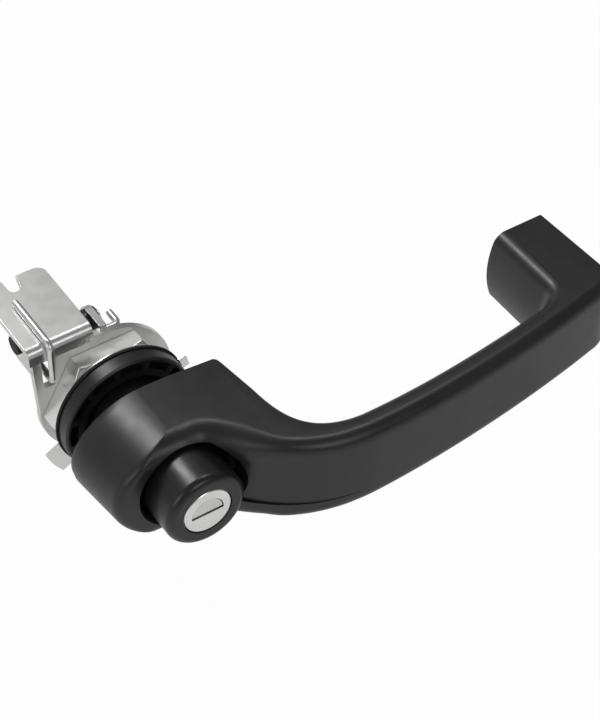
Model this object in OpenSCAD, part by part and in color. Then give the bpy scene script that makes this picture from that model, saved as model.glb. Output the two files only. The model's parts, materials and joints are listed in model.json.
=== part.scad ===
// Push-button handle latch: a grab handle whose thumb button trips a lever behind the door.
// X runs along the handle from the button to the foot, Y runs through the door from outside
// to inside, Z is up. The origin is on the button axis, in the plane where the handle seats.

/* [Handle] */
// Distance from the button axis to the foot's fixing axis
foot_pitch = 144.5; // [135:0.5:160]
// Height of the handle at the button boss
boss_height = 38; // [36.5:0.5:40]
// Height of the handle at the foot
foot_height = 29; // [27:0.5:31]
// How far the boss reaches past the button axis, away from the grip
boss_overhang = 26.7; // [26:0.1:28]
// Depth of the boss from the door to its front face
boss_depth = 27; // [26:0.5:28]
// Distance from the button axis to the boss's side that faces the fingers
boss_side = 28.4; // [27:0.2:29]
// Distance from the door to the front of the grip
grip_reach = 51.6; // [50:0.2:56]
// Thickness of the grip at mid length
grip_thickness = 12.4; // [11:0.2:14]
// Width of the foot along the handle
foot_width = 22; // [20:0.5:23]
// Fillet round the front of the boss
boss_fillet = 6; // [5:0.5:7]
// Fillet along the front of the grip
grip_fillet = 4.6; // [3:0.2:5.5]
// Crown of the finger side, the height of its bulge
finger_crown = 2.4; // [1:0.2:3]
// Depth of the thumb scoop beside the button
scoop_depth = 1.1; // [0.4:0.1:2]
// Height of the thumb scoop
scoop_height = 19; // [16:0.5:22]

/* [Button] */
// Diameter of the button cap
cap_d = 27.6; // [26:0.2:28.4]
// Gap between the button cap and the well that it sinks into
well_gap = 1.2; // [0.8:0.1:1.4]
// How far the button stands out from the door plane
button_reach = 39.6; // [38:0.2:42]
// Travel of the button
button_travel = 6; // [4:0.5:6.5]
// Diameter of the lock's face
lock_face_d = 17; // [15:0.5:18]
// Diameter of the plunger that slides in the barrel
plunger_d = 19; // [18:0.5:20]
// Diameter of the turning lock plug
plug_d = 13; // [12:0.5:13.5]
// Length of the key slot
key_slot_l = 10.6; // [9:0.2:10.8]

/* [Clamp stack] */
// Thread diameter of the barrel
barrel_d = 28; // [27:0.5:28.4]
// Thickness of door that the handle is clamped on
door_grip = 7.6; // [4:0.2:9]
// Thickness of the clamping ring
ring_t = 5.2; // [5:0.2:8]
// Diameter of the clamping ring
ring_d = 45; // [44:0.5:48]
// Number of pockets in the clamping ring
ring_pockets = 12; // [8:1:14]
// Thickness of the gasket behind the clamping ring
gasket_t = 1; // [0.8:0.1:2]
// Diameter of the gasket
gasket_d = 46.2; // [45.4:0.2:50]
// Thickness of the tab washer
tab_washer_t = 1.2; // [1:0.1:2]
// Thickness of the hex nut
nut_t = 7.4; // [6:0.2:9]
// Width across the nut's flats
nut_af = 39.6; // [38:0.2:40]

/* [Bracket and lever] */
// Sheet thickness of the bracket
bracket_t = 2.4; // [2:0.1:2.8]
// Diameter of the bracket's round base
bracket_d = 47.4; // [46:0.2:50]
// Height of the bracket's top edge above the button axis
bracket_top = 24.3; // [23.6:0.1:25]
// Distance from the bracket to the lever's pivot axis
pivot_back = 7.3; // [7.2:0.1:9]
// Height of the pivot axis above the button axis
pivot_z = 21.8; // [21:0.1:22]
// Diameter of the pivot pin
pin_d = 5; // [4:0.5:5.5]
// Sheet thickness of the lever
lever_t = 2; // [1.6:0.1:2.2]
// Length of the lever's top plate
lever_l = 33.2; // [30:0.2:38]
// Width of the lever's top plate
lever_w = 22.6; // [22:0.2:24]
// Width of the notch for the release rod
notch_w = 5.4; // [4.4:0.1:7]
// Wire diameter of the lever spring
wire_d = 2.4; // [2:0.1:2.5]

/* [Fits] */
// Running clearance at a radius, between a shaft and its bore
run_gap = 0.05; // [0.03:0.01:0.08]
// Clearance between faces that pass each other
face_gap = 0.4; // [0.3:0.05:0.5]

/* [Hidden] */

// Colours
black_plastic = [0.16, 0.16, 0.165];
black_rubber = [0.10, 0.10, 0.10];
zinc = [0.76, 0.76, 0.74];
steel = [0.66, 0.67, 0.68];
brass = [0.78, 0.62, 0.32];

$fn = 64;

// Places along Y
ring_y = door_grip;
gasket_y = ring_y + ring_t;
tab_washer_y = gasket_y + gasket_t;
nut_y = tab_washer_y + tab_washer_t;
bracket_y = nut_y + nut_t;
bracket_back = bracket_y + bracket_t;
barrel_end = bracket_back + 2;
pivot_y = bracket_back + pivot_back;

// Handle
seat_shoulder_y = -11;
flange_t = 3;
flange_front_y = seat_shoulder_y - flange_t;
foot_in_x = foot_pitch - foot_width / 2;
foot_out_x = foot_pitch + foot_width / 2;
grip_x0 = 54.7;
ellipse_x = -2;
bow_side_x = boss_side + 2.4;
nose_r = boss_fillet - 1;
seat_round = 1.7;

// Points of a cubic curve with the outward normal at each: [x, y, nx, ny, fillet, crown]
function lerp(a, b, t) = a + (b - a) * t;
function cubic(p, t) =
    pow(1 - t, 3) * p[0] + 3 * pow(1 - t, 2) * t * p[1]
    + 3 * (1 - t) * t * t * p[2] + t * t * t * p[3];
function slope(p, t) =
    3 * pow(1 - t, 2) * (p[1] - p[0]) + 6 * (1 - t) * t * (p[2] - p[1])
    + 3 * t * t * (p[3] - p[2]);
function run(p, r, c, n, from = 0, to = 1) = [
    for (i = [0:n])
        let (
            t = lerp(from, to, i / n),
            q = cubic(p, t),
            d = slope(p, t),
            k = norm(d)
        )
        [q[0], q[1], d[1] / k, -d[0] / k, lerp(r[0], r[1], t), lerp(c[0], c[1], t)]
];
function straight(a, b) = [a, lerp(a, b, 1 / 3), lerp(a, b, 2 / 3), b];

// The plan outline of the handle, anticlockwise seen from above, at mid height
s_curve = [
    [5, -boss_depth],
    [12.6, -boss_depth],
    [20.7, -grip_reach],
    [grip_x0, -grip_reach]
];
grip_front = [
    s_curve[3],
    [82, -grip_reach],
    [foot_pitch - 26.5, -grip_reach + 4.6],
    [foot_out_x - 7.5, -grip_reach + 11.3]
];
end_corner = [
    grip_front[3],
    [foot_out_x - 2.3, -grip_reach + 12.5],
    [foot_out_x + 2.1, -grip_reach + 15.6],
    [foot_out_x + 1.7, -grip_reach + 21.6]
];
finger_y = -grip_reach + grip_thickness;
foot_crown = finger_crown * 1.3;
inner_corner = [
    [foot_in_x, finger_y + 12.6],
    [foot_in_x, finger_y + 9.2],
    [foot_in_x - 2.2, finger_y + 6.7],
    [foot_in_x - 6.2, finger_y + 5.9]
];
grip_back = [
    inner_corner[3],
    [foot_pitch - 38.5, finger_y + 2.5],
    [80, finger_y - 1.1],
    [54, finger_y - 1.1]
];
boss_corner = [
    grip_back[3],
    [bow_side_x + 7.7, finger_y - 1.1],
    [bow_side_x + 2.2, finger_y + 5.7],
    [bow_side_x, finger_y + 22]
];
left_front_x = -boss_overhang + 2.1;
boss_nose = [
    for (i = [0:5])
        let (a = 180 + i * 18)
        [
            left_front_x + nose_r * (1 + cos(a)), -boss_depth + nose_r * (1 + sin(a)),
            0, sin(a), boss_fillet * pow(-sin(a), 0.7), 0
        ]
];
outline = concat(
    [
        [-boss_overhang + seat_round, 0, 0, 0, 0, 0],
        [-boss_overhang + 0.4, -0.8, 0, 0, 0, 0],
        [-boss_overhang, -3, 0, 0, 0, 0]
    ],
    boss_nose,
    run(straight([ellipse_x, -boss_depth], s_curve[0]), [boss_fillet, boss_fillet], [0, 0], 1),
    run(s_curve, [boss_fillet, grip_fillet], [0, 0], 9, 0.12),
    run(grip_front, [grip_fillet, grip_fillet], [0, 0], 7, 0.12),
    run(end_corner, [grip_fillet, 2], [0, 0], 4, 0.2),
    [[foot_out_x, 0, 1, 0, 1.4, 0], [foot_in_x, 0, -1, 0, 3.2, foot_crown]],
    run(inner_corner, [3.2, 2.6], [foot_crown, finger_crown], 4),
    run(grip_back, [2.6, 2.6], [finger_crown, finger_crown], 6, 0.12),
    run(boss_corner, [2.6, 1.4], [finger_crown, 0.2], 7, 0.12),
    [[boss_side, -2, 1, 0, 1.2, 0.1], [boss_side - 0.6, -0.6, 0.7, 0, 1.2, 0]],
    [for (i = [0:8]) [lerp(boss_side - 2, -boss_overhang + seat_round + 5, i / 8), 0, 0, 0, 0, 0]]
);
foot_i = search(foot_out_x, outline, 0, 0)[0];

// Half height of the handle at x, and each outline point's place on a level, -1 to 1
function half_height(x) =
    lerp(foot_height, boss_height, 1 / (1 + pow((max(x, 2) - 2) / 30, 2))) / 2;
function inset(p, level) =
    let (h = half_height(p[0]), over = p[4] - h * (1 - abs(level)))
    (over <= 0 ? 0 : p[4] - sqrt(p[4] * p[4] - over * over)) + p[5] * level * level;
function on_level(p, level) =
    let (
        d = inset(p, level),
        x = p[0] - p[2] * d,
        narrow = sqrt(1 - 0.985 * level * level)
    )
    [
        x < ellipse_x ? ellipse_x + (x - ellipse_x) * narrow : x,
        p[1] - p[3] * d,
        level * half_height(p[0] - p[2] * d)
    ];
level_angles = [-90, -83, -77, -71, -65, -58, -50, -41, -31, -20, -8, 8, 20, 31, 41, 50, 58, 65, 71, 77, 83, 90];
levels = [for (a = level_angles) sin(a)];

// Triangles across the flat top, from the front edge i to the back edge j, left to right
top_x = [for (p = outline) on_level(p, 1)[0]];
function across(i, j) =
    i >= foot_i && j <= foot_i + 1 ? [] :
    j <= foot_i + 1 || (i < foot_i && top_x[i + 1] <= top_x[j - 1])
        ? concat([[i, i + 1, j]], across(i + 1, j))
        : concat([[i, j - 1, j]], across(i, j - 1));

module handle_blank() {
    n = len(outline);
    m = len(levels);
    polyhedron(
        points = [for (v = levels) for (p = outline) on_level(p, v)],
        faces = concat(
            across(0, n - 1),
            [for (k = [0:m - 2]) for (i = [0:n - 1])
                let (j = (i + 1) % n)
                [k * n + i, (k + 1) * n + i, (k + 1) * n + j]],
            [for (k = [0:m - 2]) for (i = [0:n - 1])
                let (j = (i + 1) % n)
                [k * n + i, (k + 1) * n + j, k * n + j]],
            [for (t = across(0, n - 1)) [for (i = [2, 1, 0]) t[i] + (m - 1) * n]]
        )
    );
}

// A cylinder along Y from y0 to y1
module rod_y(r, y0, y1) {
    translate([0, y0, 0])
        rotate([-90, 0, 0])
            cylinder(r = r, h = y1 - y0);
}

// A cylinder along X from x0 to x1, at a place across it
module rod_x(r, x0, x1, y, z) {
    translate([x0, y, z])
        rotate([0, 90, 0])
            cylinder(r = r, h = x1 - x0);
}

// Turns a half profile of [radius, y] points round the button axis
module turned(profile) {
    rotate([-90, 0, 0])
        rotate_extrude()
            polygon(profile);
}

well_r = cap_d / 2 + well_gap;
barrel_r = barrel_d / 2;
dish_r = well_r + 1.9;
insert_r = 4.5;
insert_l = 15;
screw_r = 2.5;

module thumb_scoop() {
    near = run(s_curve, [0, 0], [0, 0], 10, 0.2, 0.97);
    translate([0, 0, -scoop_height / 2])
        linear_extrude(scoop_height)
            polygon(concat(
                [for (i = [0:len(near) - 1])
                    let (q = near[i], d = scoop_depth * (1 - i / (len(near) - 1)))
                    [q[0] - q[2] * d, q[1] - q[3] * d]],
                [[grip_x0, -grip_reach - 9], [12, -grip_reach - 9]]
            ));
}

module handle_body() {
    color(black_plastic)
        difference() {
            handle_blank();
            thumb_scoop();
            rod_y(dish_r, -grip_reach - 10, -boss_depth - 0.4);
            turned([
                [0, -boss_depth - 0.5], [dish_r, -boss_depth - 0.5],
                [well_r, -boss_depth + 2.6], [0, -boss_depth + 2.6]
            ]);
            rod_y(well_r, -boss_depth - 1, seat_shoulder_y);
            rod_y(barrel_r + run_gap, seat_shoulder_y - 1, 1);
            translate([foot_pitch, 0, 0])
                rod_y(insert_r, -insert_l, 1);
        }
}

module foot_insert() {
    color(brass)
        translate([foot_pitch, 0, 0])
            difference() {
                turned([
                    [0, -insert_l], [insert_r - 0.4, -insert_l], [insert_r, -insert_l + 0.4],
                    [insert_r, -0.4], [insert_r - 0.4, 0], [0, 0]
                ]);
                rod_y(screw_r, -insert_l + 2, 1);
            }
}

// Barrel and clamp stack
flange_r = well_r - 0.1;
plunger_r = plunger_d / 2;
barrel_flat = barrel_r - 1.3;

module barrel() {
    color(black_plastic)
        difference() {
            union() {
                rod_y(flange_r, flange_front_y, seat_shoulder_y);
                rod_y(barrel_r, seat_shoulder_y, barrel_end);
            }
            rod_y(plunger_r + run_gap, flange_front_y - 1, barrel_end + 1);
            for (side = [-1, 1])
                translate([side * (barrel_flat + 5), barrel_end + 1, 0])
                    cube([10, 2 * (barrel_end - bracket_y + 1), 2 * barrel_r], center = true);
        }
}

ring_r = ring_d / 2;
ring_bore_r = barrel_r + 1;
pocket_in_r = ring_bore_r + 3.3;
pocket_out_r = ring_r - 1.4;
pocket_depth = ring_t - 1.4;
rib_w = 2.2;
rib_phase = 9;

module clamp_ring() {
    color(black_plastic)
        difference() {
            turned([
                [ring_bore_r, gasket_y], [ring_r - 0.3, gasket_y], [ring_r, gasket_y - 0.3],
                [ring_r, ring_y + 0.6], [ring_r - 0.6, ring_y], [ring_bore_r + 0.9, ring_y],
                [ring_bore_r, ring_y + 0.9]
            ]);
            difference() {
                turned([
                    [pocket_in_r, ring_y - 1], [pocket_out_r, ring_y - 1],
                    [pocket_out_r, ring_y + pocket_depth], [pocket_in_r, ring_y + pocket_depth]
                ]);
                for (i = [0:ring_pockets - 1])
                    rotate([0, -rib_phase - i * 360 / ring_pockets, 0])
                        translate([pocket_in_r - 2, ring_y - 2, -rib_w / 2])
                            cube([pocket_out_r - pocket_in_r + 4, pocket_depth + 4, rib_w]);
            }
        }
}

gasket_r = gasket_d / 2;
lug_turn = 209;
lug_r = gasket_r + 5.3;

module ring_gasket() {
    color(black_rubber)
        difference() {
            rod_y(gasket_r, gasket_y, tab_washer_y);
            rod_y(barrel_r + 0.3, gasket_y - 1, tab_washer_y + 1);
        }
}

module tab_washer() {
    color(steel)
        difference() {
            union() {
                rod_y(gasket_r - 0.9, tab_washer_y, nut_y);
                intersection() {
                    rod_y(lug_r, tab_washer_y, nut_y);
                    rotate([0, -lug_turn, 0])
                        translate([gasket_r - 5, tab_washer_y - 1, -5.4])
                            cube([12, tab_washer_t + 2, 10.8]);
                }
                intersection() {
                    rod_y(gasket_r + 2.9, tab_washer_y, nut_y);
                    rotate([0, -13, 0])
                        translate([gasket_r - 5, tab_washer_y - 1, -2.4])
                            cube([12, tab_washer_t + 2, 4.8]);
                }
            }
            rod_y(barrel_r + 0.3, tab_washer_y - 1, nut_y + 1);
        }
}

nut_corner_r = nut_af / 2 / cos(30);

module hex_nut() {
    color(zinc)
        difference() {
            intersection() {
                translate([0, nut_y, 0])
                    rotate([-90, 0, 0])
                        cylinder(r = nut_corner_r, h = nut_t, $fn = 6);
                turned([
                    [0, nut_y], [nut_af / 2 - 0.4, nut_y], [nut_corner_r + 0.2, nut_y + 2],
                    [nut_corner_r + 0.2, bracket_y - 1.2], [nut_af / 2 + 1, bracket_y], [0, bracket_y]
                ]);
            }
            rod_y(barrel_r, nut_y - 1, bracket_y + 1);
        }
}

// Button and lock
cap_r = cap_d / 2;
cap_wall = 1.5;
cap_front_t = 3;
cap_rim = 2.8;
plunger_front_y = -button_reach + cap_front_t;
plunger_flange_t = 2;
cap_rear_y = flange_front_y - button_travel - 0.6;
plunger_end = barrel_end + 2.9;
lock_face_r = lock_face_d / 2;
lock_face_t = cap_front_t - face_gap;
plug_r = plug_d / 2;
plug_end_y = -1;
tail_r = 2.4;
clip_t = 1;
clip_y = barrel_end + face_gap;
seal_y = 4;
seal_r = 0.9;

module button_cap() {
    color(black_plastic)
        turned(concat(
            [[lock_face_r + run_gap, plunger_front_y], [lock_face_r + run_gap, -button_reach]],
            [for (a = [-90:15:0])
                [cap_r - cap_rim + cap_rim * cos(a), -button_reach + cap_rim + cap_rim * sin(a)]],
            [
                [cap_r, cap_rear_y], [cap_r - cap_wall, cap_rear_y],
                [cap_r - cap_wall, plunger_front_y]
            ]
        ));
}

module plunger() {
    color(zinc)
        difference() {
            union() {
                rod_y(cap_r - cap_wall - run_gap, plunger_front_y, plunger_front_y + plunger_flange_t);
                rod_y(plunger_r, plunger_front_y, plunger_end);
            }
            rod_y(plug_r + run_gap, plunger_front_y - 1, plug_end_y + face_gap);
            rod_y(tail_r + run_gap, plug_end_y - 1, plunger_end + 1);
            turned([
                [plunger_r - 1.2, clip_y], [plunger_r + 1, clip_y],
                [plunger_r + 1, clip_y + clip_t], [plunger_r - 1.2, clip_y + clip_t]
            ]);
            turned([
                [plunger_r - 2 * seal_r, seal_y - seal_r], [plunger_r + 1, seal_y - seal_r],
                [plunger_r + 1, seal_y + seal_r], [plunger_r - 2 * seal_r, seal_y + seal_r]
            ]);
        }
}

module plunger_seal() {
    color(black_rubber)
        rotate([-90, 0, 0])
            rotate_extrude()
                translate([plunger_r - seal_r, seal_y])
                    circle(r = seal_r, $fn = 24);
}

module plunger_clip() {
    color(steel)
        difference() {
            rod_y(barrel_r - 1.6, clip_y, clip_y + clip_t);
            rod_y(plunger_r - 1.2, clip_y - 1, clip_y + clip_t + 1);
            translate([-3.5, clip_y - 1, -barrel_r - 1])
                cube([7, clip_t + 2, barrel_r]);
        }
}

// A wire swept along a path of points, closed at both ends
function unit(v) = v / norm(v);
module wire(path, r, sides = 8, up = [1, 0, 0]) {
    n = len(path);
    dirs = [for (i = [0:n - 1]) unit(path[min(i + 1, n - 1)] - path[max(i - 1, 0)])];
    rings = [for (i = [0:n - 1])
        let (
            side = unit(cross(dirs[i], abs(dirs[i] * up) > 0.9 ? [0, 0, 1] : up)),
            over = cross(side, dirs[i])
        )
        for (j = [0:sides - 1])
            let (a = j * 360 / sides)
            path[i] + r * (side * cos(a) + over * sin(a))];
    polyhedron(
        points = rings,
        faces = concat(
            [[for (j = [0:sides - 1]) sides - 1 - j]],
            [for (i = [0:n - 2]) for (j = [0:sides - 1])
                let (k = (j + 1) % sides)
                [i * sides + j, i * sides + k, (i + 1) * sides + k]],
            [for (i = [0:n - 2]) for (j = [0:sides - 1])
                let (k = (j + 1) % sides)
                [i * sides + j, (i + 1) * sides + k, (i + 1) * sides + j]],
            [[for (j = [0:sides - 1]) (n - 1) * sides + j]]
        )
    );
}

push_wire_r = 0.7;
push_mean_r = (plunger_r + cap_r - cap_wall) / 2;
push_y0 = plunger_front_y + plunger_flange_t + push_wire_r + 0.1;
push_y1 = flange_front_y - push_wire_r - 0.1;
push_turns = 6;

module return_spring() {
    color(steel)
        wire([for (i = [0:push_turns * 16])
            [
                push_mean_r * cos(i * 22.5),
                lerp(push_y0, push_y1, i / push_turns / 16),
                push_mean_r * sin(i * 22.5)
            ]
        ], push_wire_r, 6, [0, 1, 0]);
}

lock_front_y = -button_reach + 0.2;
lock_back_y = plunger_front_y - face_gap;
shutter_t = 0.9;
shutter_y = lock_front_y + 0.3;
shutter_r = key_slot_l / 2;
shutter_z = -0.7;
hinge_y = shutter_y + shutter_t + 0.6;
hinge_z = 3.4;
hinge_pin_r = 0.5;
hinge_pin_l = 9.6;
key_slot_h = 2.2;
wafer_count = 5;
wafer_t = 1.4;
wafer_pitch = 3.2;
wafer_y = lock_front_y + 9;
wafer_half_h = 3.6;
wafer_half_w = 5.2;
tail_socket = 5;

// A half disc that faces along Y, standing on the level z
module half_moon(r, y0, y1, z) {
    intersection() {
        translate([0, 0, shutter_z])
            rod_y(r, y0, y1);
        translate([-r - 1, y0 - 1, z])
            cube([2 * r + 2, y1 - y0 + 2, 2 * r + 2]);
    }
}

module lock_plug() {
    color(zinc)
        difference() {
            union() {
                turned([
                    [0, lock_front_y], [lock_face_r - 0.5, lock_front_y],
                    [lock_face_r, lock_front_y + 0.5], [lock_face_r, lock_back_y], [0, lock_back_y]
                ]);
                rod_y(plug_r, lock_back_y - 0.1, plug_end_y);
            }
            half_moon(shutter_r + 0.3, lock_front_y - 1, shutter_y + shutter_t, shutter_z - 0.6);
            half_moon(shutter_r + 0.6, shutter_y + 0.4, shutter_y + 5, shutter_z - 0.6);
            rod_x(1.3, -3.2, 3.2, hinge_y, hinge_z);
            rod_x(hinge_pin_r, -hinge_pin_l / 2, hinge_pin_l / 2, hinge_y, hinge_z);
            translate([-key_slot_l / 2 + 0.5, shutter_y, shutter_z - 0.6])
                cube([key_slot_l - 1, wafer_count * wafer_pitch + 9, key_slot_h]);
            for (i = [0:wafer_count - 1])
                translate([-plug_r - 1, wafer_y + i * wafer_pitch, -wafer_half_h])
                    cube([2 * plug_r + 2, wafer_t, 2 * wafer_half_h]);
            rod_y(tail_r, plug_end_y - tail_socket, plug_end_y + 1);
        }
}

module key_shutter() {
    color(zinc)
        difference() {
            union() {
                half_moon(shutter_r, shutter_y, shutter_y + shutter_t, shutter_z);
                rod_x(1, -2.8, 2.8, hinge_y, hinge_z);
            }
            rod_x(hinge_pin_r + run_gap, -4, 4, hinge_y, hinge_z);
        }
}

module shutter_pin() {
    color(steel)
        rod_x(hinge_pin_r, -hinge_pin_l / 2, hinge_pin_l / 2, hinge_y, hinge_z);
}

module wafer_tumblers() {
    color(brass)
        for (i = [0:wafer_count - 1])
            difference() {
                translate([-wafer_half_w, wafer_y + i * wafer_pitch, -wafer_half_h])
                    cube([2 * wafer_half_w, wafer_t, 2 * wafer_half_h]);
                translate([-key_slot_l / 2 + 1.1, wafer_y + i * wafer_pitch - 1, shutter_z - 0.6])
                    cube([key_slot_l - 2.2, wafer_t + 2, key_slot_h]);
            }
}

tongue_y = plunger_end + face_gap;
tongue_t = 2.5;
tongue_back = tongue_y + tongue_t;
tongue_reach = 6.4;
tongue_half = 2;

module tailpiece() {
    color(steel) {
        rod_y(tail_r, plug_end_y - tail_socket, tongue_back);
        translate([-tongue_half, tongue_y, 0])
            cube([2 * tongue_half, tongue_t, tongue_reach]);
    }
}

// Bracket, pivot and lever
ear_left_x = -24.6;
ear_right_x = 2.4;
ear_r = 4.4;
ear_left_r = 3.8;
ear_right_top = 26.2;
slot_x = -19.4;
slot_w = 4;
slot_z = 11.4;
pin_r = pin_d / 2;
wire_r = wire_d / 2;
coil_r = 5.6;
coil_end_x = -7.5;
wire_bend = 1.8;
leave_a = 170;
coil_turns = 3 + (leave_a + 90) / 360;
leave_y = pivot_y + coil_r * cos(leave_a) - wire_bend * sin(leave_a);
leave_z = pivot_z + coil_r * sin(leave_a) + wire_bend * cos(leave_a);

// An ear of the bracket, bent back from its edge and rounded about the pivot
module ear(x, r, low, top) {
    difference() {
        union() {
            rod_x(r, x, x + bracket_t, pivot_y, pivot_z);
            translate([x, bracket_y + 1, 0])
                rotate([90, 0, 90])
                    linear_extrude(bracket_t)
                        polygon([
                            [0, low], [pivot_y - bracket_y - 1, pivot_z - r],
                            [pivot_y - bracket_y - 1, pivot_z + r], [0, top]
                        ]);
        }
        rod_x(pin_r, x - 1, x + bracket_t + 1, pivot_y, pivot_z);
    }
}

module bracket() {
    color(steel)
        difference() {
            union() {
                rod_y(bracket_d / 2, bracket_y, bracket_back);
                translate([0, bracket_back, 0])
                    rotate([90, 0, 0])
                        linear_extrude(bracket_t)
                            polygon([
                                [ear_left_x, bracket_top], [ear_right_x, bracket_top],
                                [ear_right_x, 0], [-bracket_d / 2 + 0.2, 0]
                            ]);
                ear(ear_left_x, ear_left_r, pivot_z - ear_left_r, bracket_top);
                ear(ear_right_x - bracket_t, ear_r, pivot_z - ear_r, ear_right_top);
                rod_x(buffer_stem_r + 1.5, ear_left_x, ear_left_x + bracket_t, buffer_y, buffer_z);
            }
            translate([slot_x - slot_w / 2, bracket_y - 1, slot_z])
                cube([slot_w, bracket_t + 2, bracket_top]);
            intersection() {
                rod_y(barrel_r + 0.1, bracket_y - 1, bracket_back + 1);
                translate([-barrel_flat - 0.1, bracket_y - 2, -barrel_r - 1])
                    cube([2 * barrel_flat + 0.2, bracket_t + 4, 2 * barrel_r + 2]);
            }
            rod_x(wire_r + 0.1, ear_right_x - bracket_t - 1, ear_right_x + 1, leave_y, leave_z);
            rod_x(buffer_stem_r, ear_left_x - 1, ear_left_x + bracket_t + 1, buffer_y, buffer_z);
            rod_x(pin_r, ear_left_x - 1, ear_left_x + bracket_t + 1, pivot_y, pivot_z);
        }
}

buffer_r = 3.2;
buffer_t = 1.5;
buffer_y = pivot_y - 0.9;
buffer_z = pivot_z + 3.7;
buffer_stem_r = 1.1;
clip_r = 3.7;
push_clip_t = 0.9;

module pivot_pin() {
    color(black_plastic)
        rod_x(pin_r, ear_left_x, ear_right_x + push_clip_t + 0.8, pivot_y, pivot_z);
}

module pin_clip() {
    color(black_plastic)
        difference() {
            rod_x(clip_r, ear_right_x, ear_right_x + push_clip_t, pivot_y, pivot_z);
            rod_x(pin_r, ear_right_x - 1, ear_right_x + push_clip_t + 1, pivot_y, pivot_z);
        }
}

module rest_buffer() {
    color(black_rubber) {
        rod_x(buffer_r, ear_left_x - buffer_t, ear_left_x, buffer_y, buffer_z);
        rod_x(buffer_stem_r, ear_left_x - buffer_t, ear_left_x + bracket_t, buffer_y, buffer_z);
    }
}

lever_x0 = ear_left_x - 1.8;
lever_x1 = lever_x0 + lever_w;
lever_top = pivot_z + 9.2;
lever_under = lever_top - lever_t;
lip_y = bracket_y - lever_t - 0.2;
lip_z = bracket_top + 0.7;
fold_r = 3;
lever_end = lip_y + lever_l;
cheek_left = ear_left_x + bracket_t + 0.3;
cheek_right = lever_x1 - lever_t;
cheek_r = 4;
pad_y = tongue_back + face_gap;
pad_z = 2.8;
pad_top = 9;
lobe_r = 3.4;
notch_x = -15.6;
notch_root = notch_w * 0.36;
notch_depth = 6.6;

module pivot_bush() {
    color(black_plastic)
        difference() {
            rod_x(coil_r - wire_r - 0.2, cheek_left + lever_t + 0.3, cheek_right - 0.3, pivot_y, pivot_z);
            rod_x(pin_r, cheek_left, cheek_right, pivot_y, pivot_z);
        }
}

module pivot_collar() {
    color(black_plastic)
        difference() {
            rod_x(cheek_r - 0.2, lever_x1 + 0.3, ear_right_x - bracket_t, pivot_y, pivot_z);
            rod_x(pin_r, lever_x1, ear_right_x, pivot_y, pivot_z);
        }
}

// A cheek of the lever, from the top plate down to the pivot
module cheek(x) {
    rod_x(cheek_r, x, x + lever_t, pivot_y, pivot_z);
    translate([x, pivot_y - 2.5, lever_under])
        rotate([90, 0, 90])
            linear_extrude(lever_t)
                polygon([
                    [0, 1], [12, 1], [12, -1], [2.5 + cheek_r, pivot_z - lever_under],
                    [2.5 - cheek_r, pivot_z - lever_under]
                ]);
}

module rounded_corner(x, y, sx) {
    translate([x, y, lever_under - 1])
        difference() {
            translate([sx > 0 ? 0 : -lobe_r - 1, 0, 0])
                cube([lobe_r + 1, lobe_r + 1, lever_t + 2]);
            translate([0, 0, -1])
                cylinder(r = lobe_r, h = lever_t + 4);
        }
}

module trip_lever() {
    color(steel)
        difference() {
            union() {
                translate([lever_x0, lip_y + fold_r, lever_under])
                    cube([lever_w, lever_l - fold_r, lever_t]);
                translate([lever_x0, lip_y, lip_z])
                    cube([lever_w, lever_t, lever_top - fold_r - lip_z]);
                difference() {
                    intersection() {
                        rod_x(fold_r, lever_x0, lever_x1, lip_y + fold_r, lever_top - fold_r);
                        translate([lever_x0, lip_y, lever_top - fold_r])
                            cube([lever_w, fold_r, fold_r]);
                    }
                    rod_x(fold_r - lever_t, lever_x0 - 1, lever_x1 + 1, lip_y + fold_r, lever_top - fold_r);
                }
                cheek(cheek_left);
                cheek(cheek_right);
                translate([cheek_right, pad_y, pad_z])
                    cube([lever_t, 6, pivot_z - pad_z]);
                translate([cheek_right, pad_y, pad_z])
                    cube([9, lever_t, pad_top - pad_z]);
            }
            rod_x(pin_r + run_gap, lever_x0, lever_x1 + 1, pivot_y, pivot_z);
            rounded_corner(lever_x1 - lobe_r, lever_end - lobe_r, 1);
            rounded_corner(lever_x0 + lobe_r, lever_end - lobe_r, -1);
            translate([notch_x - 0.4, lever_end - notch_depth + notch_root, lever_under - 1])
                cylinder(r = notch_root, h = lever_t + 2);
            translate([0, 0, lever_under - 1])
                linear_extrude(lever_t + 2)
                    polygon([
                        [notch_x - 0.4 - notch_root, lever_end - notch_depth + notch_root],
                        [notch_x - 0.4 + notch_root, lever_end - notch_depth + notch_root],
                        [notch_x + notch_w / 2, lever_end + 1],
                        [notch_x - notch_w / 2, lever_end + 1]
                    ]);
        }
}

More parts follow.
